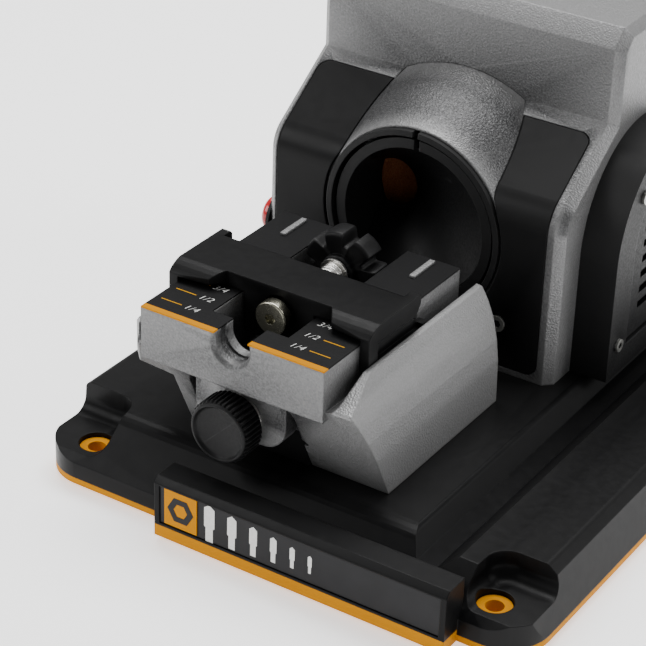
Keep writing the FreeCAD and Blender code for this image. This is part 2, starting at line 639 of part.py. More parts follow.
def feed_screw():
    """Long screw with a collar behind the block's lug, so turning it moves the block."""
    shank = rod("feed_shank", "y", "block_x", "knob_face + 6", "knob_high", "feed_rad",
                "feed_end - knob_face - 6")
    collar = rod("feed_collar", "y", "block_x", "lug_front + lug_thick + 0.2", "knob_high",
                 "feed_rad + 2.5", "2.5")
    return join("feed_screw", shank, collar)


# ---------------------------------------------------------------- head

def head():
    """Grey head casting: upright front, sloping shelf, upright upper front, open back and bottom."""
    outer = [("head_front", "deck_high"), ("head_back", "deck_high"), ("head_back", "head_high - 12"),
             ("head_back - 12", "head_high"), ("shelf_back + 9", "head_high"),
             ("shelf_back", "head_high - 9"), ("shelf_back", "shelf_high"), ("head_front", "bend_high")]
    wide = "head_right - head_left"
    solid = outline("head_outer", "x", outer, "head_left", wide)
    solid = round_edges("head_bend", solid, DIMS["bend_rad"],
                        along("x", y=(DIMS["head_front"],), z=(DIMS["bend_high"],)))
    sides = (DIMS["head_left"], DIMS["head_right"])

    def front_edges(edge):
        middle = edge.CenterOfMass
        if abs(edge.BoundBox.XLength) > 0.01:
            return False
        on_side = any(abs(middle.x - x) < 0.05 for x in sides)
        return on_side and middle.z > DIMS["deck_high"] + 1 and middle.y < DIMS["head_back"] - 1
    solid = round_edges("head_bevelled", solid, DIMS["bevel"], front_edges, "Part::Chamfer")
    inner = [("head_front + shell", "deck_high - 1"), ("head_back + 1", "deck_high - 1"),
             ("head_back + 1", "head_high - 13"), ("head_back - 13", "head_high - shell"),
             ("shelf_back + 11", "head_high - shell"), ("shelf_back + shell", "head_high - 11"),
             ("shelf_back + shell", "shelf_high - 2"), ("head_front + shell", "bend_high - 2")]
    cavity = outline("head_cavity", "x", inner, "head_left + shell", f"{wide} - 2 * shell")
    cavity = round_edges("head_cavity_bend", cavity, DIMS["bend_rad"] - 4,
                         along("x", y=(DIMS["head_front"] + DIMS["shell"],),
                               z=(DIMS["bend_high"] - 2,)))
    rebate = panel_band("head_rebate", "seam", "panel_thick + 0.05")
    motor_hole = rod("head_motor_hole", "x", "head_right - 10", "drive_y", "axis_high", "motor_rad + 0.3",
                     "20")
    button_hole = rod("head_button_hole", "x", "head_left - 1", "button_y", "button_z",
                      "button_rad + 0.5", "10")
    barrel_hole = barrel_outside("head_barrel_hole", "0", "head_front - 1")
    body = cut("head_shell", solid, cavity, rebate, motor_hole, button_hole, barrel_hole)
    posts = [rod(f"head_post_{i}", "z", x, y, "deck_high", "7.5", "18")
             for i, (x, y) in enumerate(HEAD_SCREWS)]
    posts += [rod(f"head_rear_post_{i}", "y", x, "head_back - 14", z, "5", "14")
              for i, (x, z) in enumerate(REAR_SCREWS)]
    body = join("head_posts", body, *posts)
    pilots = [rod(f"head_thread_{i}", "z", x, y, "deck_high - 1", "2.5", "12")
              for i, (x, y) in enumerate(HEAD_SCREWS)]
    pilots += [rod(f"head_rear_thread_{i}", "y", x, "head_back - 8", z, "1.8", "9")
               for i, (x, z) in enumerate(REAR_SCREWS)]
    pilots += [rod(f"head_panel_thread_{i}", "y", x, "head_front", z, "2.1", "8")
               for i, (x, z) in enumerate(PANEL_SCREWS)]
    return cut("head_casting", body, *pilots)


REAR_SCREWS = [(x, z) for x in ("head_left + 7", "head_right - 7") for z in ("48", "115", "190")]


def panel_band(name, margin, depth):
    """The panel's bent plate, grown by a margin at its rim, with rounded corners."""
    slope = "(shelf_high - bend_high) / (shelf_back - head_front)"
    top_y = "panel_back + margin"
    points = [("head_front", "panel_low - margin"), ("head_front + depth", "panel_low - margin"),
              ("head_front + depth", "bend_high + (depth) * slope - 1.223 * (depth)"),
              ("top_y + 0.576 * (depth)",
               "bend_high + (top_y - head_front) * slope - 0.817 * (depth)"),
              ("top_y", "bend_high + (top_y - head_front) * slope"), ("head_front", "bend_high")]

    def filled(text):
        text = text.replace("slope", slope).replace("top_y", f"({top_y})")
        return text.replace("depth", depth).replace("margin", margin)
    points = [(filled(u), filled(v)) for u, v in points]
    band = outline(name + "_band", "x", points, f"panel_left - {margin}",
                   f"panel_right - panel_left + 2 * {margin}")

    band = round_edges(name + "_bent", band, DIMS["bend_rad"],
                       along("x", y=(DIMS["head_front"],), z=(DIMS["bend_high"],)))
    inner_y, inner_z = (value(text) for text in points[2])
    band = round_edges(name + "_bent_inside", band, DIMS["bend_rad"] - value(depth),
                       along("x", y=(inner_y,), z=(inner_z,)))

    def rim_corner(edge):
        if edge.Curve.TypeId != "Part::GeomLine" or edge.Length > 6:
            return False
        return abs(edge.Vertexes[0].Point.x - edge.Vertexes[-1].Point.x) < 1e-4
    return round_edges(name, band, 7, rim_corner)


def front_panel():
    band = panel_band("panel_plate", "0", "panel_thick")
    tools = [barrel_outside("panel_port", "seam", "head_front - 1")]
    for i, (x, z) in enumerate(PANEL_SCREWS):
        tools.append(rod(f"panel_sink_{i}", "y", x, "head_front - 1", z, "4.8", "2.4"))
        tools.append(rod(f"panel_clear_{i}", "y", x, "head_front - 1", z, "2.1", "10"))
    return cut("front_panel", band, *tools)


PANEL_SCREWS = [(x, "63.5") for x in ("port_x + 54.4", "port_x - 54.4")]


def barrel_outside(name, margin, front):
    """Round sleeve whose upper part flares back until it meets the head's upper front."""
    sleeve = rod(name + "_sleeve", "y", "port_x", front, "axis_high", f"barrel_rad + {margin}",
                 f"barrel_back - ({front})")
    flare = cone(name + "_flare", "y", "port_x", "barrel_front", "axis_high",
                 f"barrel_rad + {margin}", f"barrel_rad + {margin} + barrel_flare * "
                 "(shelf_back + 0.5 - barrel_front)", "shelf_back + 0.5 - barrel_front")
    upper = box(name + "_upper", "port_x - 90", "barrel_front - 1", "bend_high - 6", "180",
                "shelf_back - barrel_front + 5", "80")
    return join(name, sleeve, common(name + "_flared", flare, upper))


def port_barrel():
    """Fixed sleeve of the sharpening port, with the seat for the collar in its mouth."""
    body = barrel_outside("barrel_solid", "0", "barrel_front")
    seat = rod("barrel_seat", "y", "port_x", "barrel_front - 1", "axis_high", "collar_rad",
               "collar_back - barrel_front + 1")
    bore = rod("barrel_bore_cut", "y", "port_x", "barrel_front - 1", "axis_high", "barrel_bore", "60")
    return cut("port_barrel", body, seat, bore)


def split_ring(name, outer, inner, front, back):
    ring = tube(name + "_ring", "y", "port_x", front, "axis_high", outer, inner, f"{back} - {front}")
    gap = box(name + "_gap", "port_x - split_gap / 2", f"{front} - 1", "axis_high", "split_gap",
              f"{back} - {front} + 2", "60")
    return cut(name, ring, gap)


def port_liner():
    return split_ring("port_liner", "liner_rad", "liner_bore", "liner_front", "liner_back")


def port_guide():
    """Cup inside the liner: its wall leads in from the mouth to a round window in front of the wheel."""
    plug = rod("guide_plug", "y", "port_x", "guide_front", "axis_high", "liner_bore - 0.1",
               "liner_back - guide_front")
    rings = []
    for name, x, y, radius in (("guide_mouth", "port_x", "guide_front - 1", "liner_bore + 1"),
                               ("guide_window", "window_x", "liner_back + 1", "window_rad")):
        ring = fresh("Part::Circle", name)
        bind(ring, Radius=radius)
        ring.Placement.Rotation = TURNS["y"]
        rings.append(place(ring, x, y, "axis_high"))
    funnel = fresh("Part::Loft", "guide_funnel")
    funnel.Sections = rings
    funnel.Solid = True
    funnel.Ruled = True
    return cut("port_guide", plug, funnel)


# ---------------------------------------------------------------- grinding drive

def on_drive(name, left, radius, length):
    return rod(name, "x", left, "drive_y", "axis_high", radius, length)


def drive_ring(name, left, outer, inner, length):
    return tube(name, "x", left, "drive_y", "axis_high", outer, inner, length)


def grinding_wheel():
    body = cone("wheel_solid", "x", "wheel_left", "drive_y", "axis_high", "wheel_big",
                "wheel_big - wheel_slope * wheel_thick", "wheel_thick")
    return cut("grinding_wheel", body, on_drive("wheel_bore", "wheel_left - 1", "shaft_rad", "40"))


def wheel_flanges():
    left = drive_ring("flange_left", "wheel_left - 4", "16", "shaft_rad", "4")
    right = drive_ring("flange_right", "wheel_left + wheel_thick", "14", "shaft_rad", "4")
    return join("wheel_flanges", left, right)


def wheel_nut():
    nut = prism("nut_solid", "x", {"x": "wheel_left - 12", "y": "drive_y", "z": "axis_high"}, "11", "8")
    return cut("wheel_nut", nut, on_drive("nut_bore", "wheel_left - 13", "shaft_rad", "12"))


def motor_shaft():
    return on_drive("motor_shaft", "shaft_left", "shaft_rad", "shaft_right - shaft_left")


def rotor():
    return drive_ring("rotor", "rotor_left", "rotor_rad", "shaft_rad", "rotor_long")


def stator():
    return drive_ring("stator", "rotor_left - 1", "stator_rad", "rotor_rad + air_gap", "rotor_long + 2")


def motor_housing():
    """Motor can with a bearing seat in each end."""
    can = on_drive("can_solid", "motor_left", "motor_rad", "motor_right - motor_left")
    room = on_drive("can_room", "motor_left + 4", "stator_rad", "motor_right - motor_left - 8")
    seat_left = on_drive("can_seat_left", "motor_left + 1.5", "bearing_rad", "4")
    seat_right = on_drive("can_seat_right", "motor_right - 5.5", "bearing_rad", "4")
    way = on_drive("can_way", "motor_left - 1", "shaft_rad + 2", "motor_right - motor_left + 2")
    body = cut("can_hollow", can, room, seat_left, seat_right, way)
    hubs = [drive_ring("hub_left", "motor_left", "bearing_rad + 4", "bearing_rad", "10.5"),
            drive_ring("hub_right", "motor_right - 10.5", "bearing_rad + 4", "bearing_rad", "10.5")]
    body = join("can_hubbed", body, *hubs)
    ears = box("motor_foot", "motor_left + 4", "drive_y - 24", "deck_high", "40", "48", "30")
    ears = cut("motor_foot_cut", ears, on_drive("foot_clear", "motor_left - 1", "motor_rad - 1", "80"))
    return join("motor_housing", body, ears)


def bearings():
    bore = "shaft_rad + 0.05"
    left = drive_ring("bearing_left", "motor_left + 1.5", "bearing_rad", bore, "bearing_wide")
    right = drive_ring("bearing_right", "motor_right - 10.5", "bearing_rad", bore, "bearing_wide")
    return join("shaft_bearings", left, right)


def cooling_fan():
    hub = drive_ring("fan_hub", "fan_left", "10", "shaft_rad", "10")
    disc = drive_ring("fan_disc", "fan_left", "fan_rad", "9", "2")
    blades = []
    for i in range(8):
        blade = box(f"fan_blade_{i}", "fan_left + 1", "0", "0", "9", "fan_rad - 9.5", "1.6")
        blade.Placement.Rotation = FreeCAD.Rotation(FreeCAD.Vector(1, 0, 0), 45 * i)
        place(blade, "fan_left + 1", f"drive_y + 9 * cos({45 * i} deg)",
              f"axis_high + 9 * sin({45 * i} deg)")
        blades.append(blade)
    return join("cooling_fan", hub, disc, *blades)


def arch(name, left, half, length, low="deck_high + 0.2"):
    """Arched solid against the head's right side: upright legs under a half round."""
    legs = box(name + "_legs", left, f"arch_y - ({half})", low, length, f"2 * ({half})", f"arch_z - ({low})")
    top = rod(name + "_top", "x", left, "arch_y", "arch_z", half, length)
    return join(name, legs, top)


def motor_cover():
    body = arch("cover_solid", "head_right", "arch_half", "arch_out - head_right")
    room = arch("cover_room", "head_right - 1", "arch_half - arch_wall",
                "arch_out - head_right - arch_wall + 1", "deck_high + 4")
    window = arch("cover_window", "arch_out - 10", "arch_half - arch_rim", "12", "deck_high + 14")
    body = cut("cover_shell", body, room)
    posts = [rod(f"cover_post_{i}", "x", "head_right", y, z, "4.5", "arch_out - head_right - 1")
             for i, (y, z) in enumerate(COVER_SCREWS)]
    body = join("cover_posts", body, *posts)
    pilots = [rod(f"cover_pilot_{i}", "x", "arch_out - 11", y, z, "1.8", "12")
              for i, (y, z) in enumerate(COVER_SCREWS)]
    return cut("motor_cover", body, window, *pilots)


COVER_SCREWS = [("arch_y - 48", "54"), ("arch_y + 48", "54"), ("arch_y - 34", "133"),
                ("arch_y + 34", "133")]


def cover_grille():
    body = arch("grille_solid", "arch_out - 4.6", "arch_half - arch_rim - 0.2", "2.6", "deck_high + 14.2")
    slots = [box(f"grille_slot_{i}", "arch_out - 8", "arch_y - 24", f"64 + {i} * 9", "8", "48", "4")
             for i in range(7)]
    return cut("cover_grille", body, *slots)


# ---------------------------------------------------------------- switch, back and inlet

def button_bezel():
    return tube("button_bezel", "x", "head_left - bezel_thick", "button_y", "button_z", "bezel_rad",
                "button_rad + 0.3", "bezel_thick")


def power_button():
    skirt = rod("button_skirt", "x", "head_left - button_out + 5", "button_y", "button_z", "button_rad",
                "5")
    dome = fresh("Part::Ellipsoid", "button_dome")
    bind(dome, Radius1="5", Radius2="button_rad", Radius3="button_rad")
    dome.Placement.Rotation = TURNS["x"]
    place(dome, "head_left - button_out + 5", "button_y", "button_z")
    stem = rod("button_stem", "x", "head_left - 2", "button_y", "button_z", "4", "14")
    return join("power_button", skirt, dome, stem)


def switch_body():
    body = box("switch_solid", "head_left + shell", "button_y - 10", "button_z - 13", "19", "22", "26")
    well = rod("switch_well", "x", "head_left", "button_y", "button_z", "4.3", "20")
    return cut("switch_body", body, well)


def rear_cover():
    plate = box("rear_plate", "head_left + 1", "head_back", "deck_high + 1", "head_right - head_left - 2",
                "3", "head_high - deck_high - 14")
    slots = [box(f"rear_slot_{i}", "port_x + 8", "head_back - 1", f"120 + {i} * 9", "56", "6", "4")
             for i in range(6)]
    mouth = box("rear_inlet_hole", "inlet_x - 14", "head_back - 1", "inlet_z - 10", "28", "6", "20")
    holes = [rod(f"rear_hole_{i}", "y", x, "head_back - 1", z, "1.8", "6")
             for i, (x, z) in enumerate(REAR_SCREWS)]
    return cut("rear_cover", plate, mouth, *slots, *holes)


def power_inlet():
    flange = box("inlet_flange", "inlet_x - 24", "head_back + 3", "inlet_z - 13", "48", "2.5", "26")
    shell = box("inlet_shell", "inlet_x - 13.8", "head_back - 17", "inlet_z - 9.8", "27.6", "21", "19.6")
    well = box("inlet_well", "inlet_x - 12", "head_back - 13", "inlet_z - 8", "24", "20", "16")
    body = cut("inlet_hollow", join("inlet_joined", flange, shell), well)
    pins = [box(f"inlet_pin_{i}", f"inlet_x + {dx} - 1", "head_back - 15", f"inlet_z + {dz} - 2", "2",
                "16", "4") for i, (dx, dz) in enumerate(((-7, -2), (0, 3), (7, -2)))]
    return join("power_inlet", body, *pins)


NODES = [
    deck(), tray(), feet(), name_plate(), badge(), dovetail_key(),
    block(), plate_half("scale_plate_left", "left"), plate_half("scale_plate_right", "right"),
    strips(), rest_ribs(), carriage(), stop_button(), adjuster_screw(), adjuster_spring(),
    adjuster_washer(), star_knob(), feed_knob(), feed_washer(), feed_screw(),
    head(), front_panel(), port_barrel(),
    split_ring("port_collar", "collar_rad", "collar_bore", "collar_front", "collar_back"),
    port_liner(), port_guide(), grinding_wheel(), wheel_flanges(), wheel_nut(), motor_shaft(), rotor(), stator(),
    motor_housing(), bearings(), cooling_fan(), motor_cover(), cover_grille(),
    button_bezel(), power_button(), switch_body(), rear_cover(), power_inlet(),
    screws("tray_screws", "z", [(x, y, "tray_low + 0.2") for x, y in TRAY_SCREWS], "3.3", "1.6", "1.6",
           "12"),
    screws("key_screws", "z", [(x, y, "key_top - 0.6") for x, y in KEY_SCREWS], "4.8", "5.4", "2.5", "20",
           inward=-1),
    screws("head_screws", "z", [(x, y, "deck_high - 8") for x, y in HEAD_SCREWS], "4.2", "4", "2.5", "14"),
    screws("panel_screws", "y", [(x, "head_front - 0.8", z) for x, z in PANEL_SCREWS], "4.5", "2.2",
           "2.1", "6"),
    screws("cover_screws", "x", [("arch_out + 1.6", y, z) for y, z in COVER_SCREWS], "3.5", "1.6", "1.8",
           "10", inward=-1),
    screws("rear_screws", "y", [(x, "head_back + 4.8", z) for x, z in REAR_SCREWS], "3.5", "1.8", "1.8",
           "10", inward=-1),
]

doc.recompute()
for item in doc.Objects:
    if "Invalid" in item.State or "Error" in item.State:
        raise RuntimeError(f"{item.Name} failed: {item.State}")

os.makedirs("parts", exist_ok=True)
for node in NODES:
    node.Label = node.Name
    if node.Shape.isNull() or not node.Shape.isValid() or not node.Shape.Solids:
        raise RuntimeError(f"{node.Label} has no valid shape")
    node.Shape.exportStep(f"parts/{node.Label}.step")
    bounds = node.Shape.BoundBox
    print(f"{node.Label:22s} solids {len(node.Shape.Solids)} volume {node.Shape.Volume:10.0f} "
          f"x {bounds.XMin:7.1f} {bounds.XMax:7.1f} y {bounds.YMin:7.1f} {bounds.YMax:7.1f} "
          f"z {bounds.ZMin:6.1f} {bounds.ZMax:6.1f}")
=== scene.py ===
import json
import math

import bmesh
import bpy
from mathutils import Matrix, Vector


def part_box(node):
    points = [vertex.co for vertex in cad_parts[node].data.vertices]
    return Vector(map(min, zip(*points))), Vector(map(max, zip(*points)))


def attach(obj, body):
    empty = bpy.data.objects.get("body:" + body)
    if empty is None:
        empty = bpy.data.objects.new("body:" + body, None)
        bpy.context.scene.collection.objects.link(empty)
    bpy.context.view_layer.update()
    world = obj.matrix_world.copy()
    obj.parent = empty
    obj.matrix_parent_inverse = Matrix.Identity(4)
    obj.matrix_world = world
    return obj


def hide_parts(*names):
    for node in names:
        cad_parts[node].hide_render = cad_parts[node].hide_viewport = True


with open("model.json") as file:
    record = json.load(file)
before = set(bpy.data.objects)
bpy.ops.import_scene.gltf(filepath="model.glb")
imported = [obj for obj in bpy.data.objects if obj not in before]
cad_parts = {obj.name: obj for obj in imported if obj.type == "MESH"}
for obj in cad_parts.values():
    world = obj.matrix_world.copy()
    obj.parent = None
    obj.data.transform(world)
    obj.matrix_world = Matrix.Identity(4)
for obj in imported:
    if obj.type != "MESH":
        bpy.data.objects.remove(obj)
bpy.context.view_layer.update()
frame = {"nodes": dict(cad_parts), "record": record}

nodes = frame["nodes"]


# ---------------------------------------------------------------- materials

class Finish:
    """A procedural material built up one layer at a time.

    Colours are linear, sizes of edges and bumps are in millimetres, and noise scales are per metre.
    """

    COAT_ROUGHNESS = 0.2
    EDGE_SAMPLES = 6

    def __init__(self, name, colour, metallic=0.0, spec=0.5, coat=0.0, edge=0.4, roughness=0.5):
        self.material = bpy.data.materials.new(name)
        self.material.use_nodes = True
        self.tree = self.material.node_tree
        self.shader = self.tree.nodes["Principled BSDF"]
        self.shader.inputs["Metallic"].default_value = metallic
        self.shader.inputs["Specular IOR Level"].default_value = spec
        self.shader.inputs["Coat Weight"].default_value = coat
        self.shader.inputs["Coat Roughness"].default_value = self.COAT_ROUGHNESS
        self.colour = self.rgb(colour)
        self.roughness = roughness
        self.coords = self.tree.nodes.new("ShaderNodeTexCoord").outputs["Object"]
        self.normal = None
        if edge:
            bevel = self.tree.nodes.new("ShaderNodeBevel")
            bevel.samples = self.EDGE_SAMPLES
            bevel.inputs["Radius"].default_value = edge / 1000
            self.normal = bevel.outputs["Normal"]

    def rgb(self, colour):
        node = self.tree.nodes.new("ShaderNodeRGB")
        node.outputs[0].default_value = (*colour, 1)
        return node.outputs[0]

    def noise(self, scale, detail, stretch=None):
        """Noise whose cells are about 1000 / scale millimetres across."""
        node = self.tree.nodes.new("ShaderNodeTexNoise")
        node.inputs["Scale"].default_value = scale
        node.inputs["Detail"].default_value = detail
        coords = self.coords
        if stretch:
            mapping = self.tree.nodes.new("ShaderNodeMapping")
            mapping.inputs["Scale"].default_value = stretch
            self.tree.links.new(coords, mapping.inputs["Vector"])
            coords = mapping.outputs["Vector"]
        self.tree.links.new(coords, node.inputs["Vector"])
        return node.outputs["Fac"]

    def cells(self, scale):
        """Distance from the middle of each grain, grains being about 1000 / scale millimetres across."""
        node = self.tree.nodes.new("ShaderNodeTexVoronoi")
        node.inputs["Scale"].default_value = scale
        self.tree.links.new(self.coords, node.inputs["Vector"])
        return node.outputs["Distance"]

    def ramp(self, factor, low, high, start=0.35, end=0.65):
        """Maps a factor's start..end to low..high, clamped."""
        node = self.tree.nodes.new("ShaderNodeMapRange")
        self.tree.links.new(factor, node.inputs["Value"])
        for socket, value in (("From Min", start), ("From Max", end), ("To Min", low), ("To Max", high)):
            node.inputs[socket].default_value = value
        return node.outputs["Result"]

    def mix(self, factor, colour):
        """Blends another colour over what is there, by a factor output."""
        node = self.tree.nodes.new("ShaderNodeMix")
        node.data_type = "RGBA"
        self.tree.links.new(factor, node.inputs["Factor"])
        self.tree.links.new(self.colour, node.inputs["A"])
        node.inputs["B"].default_value = (*colour, 1)
        self.colour = node.outputs["Result"]
        return self

    def lighter_edges(self, colour, start, end, strength):
        """Paints a lighter colour along raised edges, found by pointiness: a painted highlight on the
        casting, enamel, plastic and nickel, and only lighter edges on the black-oxide steel.
        """
        point = self.tree.nodes.new("ShaderNodeNewGeometry").outputs["Pointiness"]
        return self.mix(self.ramp(point, 0.0, strength, start, end), colour)

    def bump(self, height, depth, strength):
        """Adds relief of the given depth on top of the normal so far."""
        node = self.tree.nodes.new("ShaderNodeBump")
        node.inputs["Strength"].default_value = strength
        node.inputs["Distance"].default_value = depth / 1000
        self.tree.links.new(height, node.inputs["Height"])
        if self.normal:
            self.tree.links.new(self.normal, node.inputs["Normal"])
        self.normal = node.outputs["Normal"]
        return self

    def rough(self, factor, low, high):
        """Varies the roughness between two values."""
        self.roughness = self.ramp(factor, low, high)
        return self

    def done(self):
        """Links the layers to the shader and gives the material."""
        link = self.tree.links.new
        link(self.colour, self.shader.inputs["Base Color"])
        if isinstance(self.roughness, float):
            self.shader.inputs["Roughness"].default_value = self.roughness
        else:
            link(self.roughness, self.shader.inputs["Roughness"])
        if self.normal:
            link(self.normal, self.shader.inputs["Normal"])
        return self.material


def make_finishes():
    """One material for each slot of the record, and two inks."""
    made = {}
    f = Finish("grey_bead_casting", (0.028, 0.028, 0.029), metallic=0.45, edge=1.3)
    f.mix(f.ramp(f.noise(950, 3), 0.0, 0.75), (0.115, 0.115, 0.116))
    f.mix(f.ramp(f.noise(18, 3), 0.0, 0.35), (0.050, 0.050, 0.051))
    # painted highlight: a light grey rim along the raised edges of the casting
    f.lighter_edges((0.36, 0.36, 0.36), 0.52, 0.60, 0.5)
    f.rough(f.noise(700, 2), 0.36, 0.52).bump(f.cells(1000), 0.2, 0.9).bump(f.noise(420, 2), 0.05, 0.5)
    made["grey_paint"] = f.done()

    f = Finish("black_satin_enamel", (0.0022, 0.0022, 0.0024), spec=0.09, edge=0.9)
    f.mix(f.ramp(f.noise(60, 3), 0.0, 0.4), (0.0045, 0.0045, 0.0049))
    # painted highlight: a faint grey sheen along the raised edges of the enamel
    f.lighter_edges((0.03, 0.03, 0.03), 0.54, 0.62, 0.3)
    f.rough(f.noise(240, 3), 0.31, 0.38).bump(f.noise(1300, 2), 0.02, 0.4)
    made["black_paint"] = f.done()

    f = Finish("golden_orange_enamel", (0.52, 0.205, 0.0), spec=0.03, edge=0.4)
    f.mix(f.ramp(f.noise(45, 3), 0.0, 0.5), (0.47, 0.185, 0.0))
    f.rough(f.noise(300, 2), 0.34, 0.48).bump(f.noise(1500, 2), 0.02, 0.4)
    made["orange_paint"] = f.done()

    f = Finish("black_anodised_plate", (0.0035, 0.0035, 0.0038), spec=0.12, edge=0.2)
    f.mix(f.ramp(f.noise(700, 2), 0.0, 0.5), (0.006, 0.006, 0.0063))
    f.rough(f.noise(500, 2, (1, 12, 1)), 0.42, 0.56).bump(f.noise(2400, 1), 0.010, 0.4)
    made["scale_black"] = f.done()

    f = Finish("label_film", (0.004, 0.004, 0.005), spec=0.18, edge=0.2)
    f.mix(f.ramp(f.noise(80, 2), 0.0, 0.4), (0.010, 0.010, 0.012))
    f.rough(f.noise(200, 2), 0.28, 0.38).bump(f.noise(900, 2), 0.01, 0.3)
    made["label_black"] = f.done()

    f = Finish("moulded_black_plastic", (0.0032, 0.0032, 0.0035), spec=0.16, edge=0.6)
    f.mix(f.ramp(f.noise(90, 3), 0.0, 0.5), (0.0055, 0.0055, 0.0058))
    # painted highlight: a faint grey sheen along the raised edges of the plastic
    f.lighter_edges((0.03, 0.03, 0.03), 0.54, 0.62, 0.35)
    f.rough(f.noise(800, 2), 0.40, 0.54).bump(f.noise(1800, 2), 0.03, 0.5)
    made["black_plastic"] = f.done()

    f = Finish("foot_rubber", (0.012, 0.012, 0.012), spec=0.2, edge=0.6)
    f.mix(f.ramp(f.noise(60, 4), 0.0, 0.6), (0.024, 0.023, 0.022))
    f.rough(f.noise(300, 2), 0.65, 0.85).bump(f.noise(1000, 3), 0.05, 0.6)
    made["rubber"] = f.done()

    f = Finish("turned_steel", (0.74, 0.73, 0.70), metallic=1.0, edge=0.2)
    f.mix(f.ramp(f.noise(120, 2), 0.0, 0.25), (0.64, 0.63, 0.61))
    f.rough(f.noise(200, 2), 0.26, 0.34).bump(f.noise(900, 1), 0.002, 0.2)
    made["bright_steel"] = f.done()

    f = Finish("black_oxide_steel", (0.050, 0.050, 0.052), metallic=0.9, edge=0.3)
    f.mix(f.ramp(f.noise(250, 3), 0.0, 0.5), (0.075, 0.074, 0.071))
    f.lighter_edges((0.50, 0.50, 0.47), 0.53, 0.60, 0.7)
    f.rough(f.noise(600, 2), 0.28, 0.42).bump(f.noise(1500, 2), 0.01, 0.4)
    made["dark_steel"] = f.done()

    f = Finish("nickel_plate", (0.36, 0.35, 0.28), metallic=1.0, edge=0.15)
    f.mix(f.ramp(f.noise(70, 2), 0.0, 0.25), (0.31, 0.30, 0.24))
    # painted highlight: a near-white glint along the raised edges of the plating
    f.lighter_edges((0.88, 0.86, 0.76), 0.51, 0.58, 0.8)
    f.rough(f.noise(300, 2), 0.22, 0.28).bump(f.noise(900, 2), 0.002, 0.2)
    made["nickel"] = f.done()

    f = Finish("bonded_abrasive", (0.30, 0.085, 0.03), spec=0.3, edge=0.5)
    f.mix(f.ramp(f.noise(1100, 2), 0.0, 0.7), (0.42, 0.16, 0.06))
    f.mix(f.ramp(f.cells(900), 0.6, 0.0, 0.0, 0.35), (0.10, 0.035, 0.02))
    f.rough(f.noise(900, 2), 0.75, 0.95).bump(f.cells(1000), 0.25, 0.9)
    made["abrasive"] = f.done()

    f = Finish("red_gloss_plastic", (0.50, 0.008, 0.012), coat=0.3, edge=0.5)
    f.mix(f.ramp(f.noise(50, 3), 0.0, 0.4), (0.38, 0.005, 0.008))
    f.rough(f.noise(300, 2), 0.16, 0.26).bump(f.noise(900, 2), 0.01, 0.3)
    made["red_plastic"] = f.done()

    f = Finish("steel_laminations", (0.20, 0.19, 0.18), metallic=0.8, edge=0.3)
    f.mix(f.ramp(f.noise(1400, 1, (1, 0.02, 0.02)), 0.0, 0.7), (0.08, 0.078, 0.075))
    f.rough(f.noise(600, 2), 0.42, 0.6).bump(f.noise(1400, 1, (1, 0.02, 0.02)), 0.1, 0.7)
    made["laminations"] = f.done()

    f = Finish("white_ink", (0.72, 0.72, 0.70), spec=0.2, edge=0)
    f.mix(f.ramp(f.noise(900, 2), 0.0, 0.5), (0.58, 0.58, 0.56))
    f.rough(f.noise(600, 2), 0.48, 0.62).bump(f.noise(1800, 1), 0.004, 0.3)
    made["white_ink"] = f.done()

    f = Finish("gold_ink", (0.50, 0.24, 0.0), spec=0.05, edge=0)
    f.mix(f.ramp(f.noise(900, 2), 0.0, 0.5), (0.44, 0.21, 0.0))
    f.rough(f.noise(600, 2), 0.42, 0.56).bump(f.noise(1800, 1), 0.004, 0.3)
    made["gold_ink"] = f.done()
    return made


finishes = make_finishes()
slot_of = {part["node"]: part["material_slot"] for part in frame["record"]["subparts"]}

for name, slot in slot_of.items():
    nodes[name].data.materials.clear()
    nodes[name].data.materials.append(finishes[slot])


# ---------------------------------------------------------------- pieces

MM = 0.001
SHARP_ANGLE = math.radians(38)


def piece(name, mesh, material, body, smooth=True):
    """A new visible piece in millimetres: finished in its slot's material and riding on its body."""
    for vertex in mesh.verts:
        vertex.co *= MM
    bmesh.ops.recalc_face_normals(mesh, faces=mesh.faces)
    data = bpy.data.meshes.new(name)
    mesh.to_mesh(data)
    mesh.free()
    data.materials.append(finishes[material])
    if smooth:
        data.set_sharp_from_angle(angle=SHARP_ANGLE)
        for polygon in data.polygons:
            polygon.use_smooth = True
    obj = bpy.data.objects.new(name, data)
    bpy.context.scene.collection.objects.link(obj)
    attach(obj, body)
    return obj


def centre_of(node):
    """A node's centre and its front and back along Y, in millimetres."""
    low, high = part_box(node)
    return [(low[i] + high[i]) / 2 / MM for i in range(3)], low[1] / MM, high[1] / MM


def turned(mesh, cx, cz, sections, radius_at, count):
    """Joins closed sections along Y: each is (y, scale, radial offset); both ends are closed."""
    loops = []
    for y, scale, offset in sections:
        loop = []
        for i in range(count):
            angle = 2 * math.pi * i / count
            radius = radius_at(angle) * scale + offset
            loop.append(mesh.verts.new((cx + radius * math.cos(angle), y, cz + radius * math.sin(angle))))
        loops.append(loop)
    for one, two in zip(loops, loops[1:]):
        for i in range(count):
            j = (i + 1) % count
            mesh.faces.new((one[i], one[j], two[j], two[i]))
    mesh.faces.new(loops[0][::-1])
    mesh.faces.new(loops[-1])


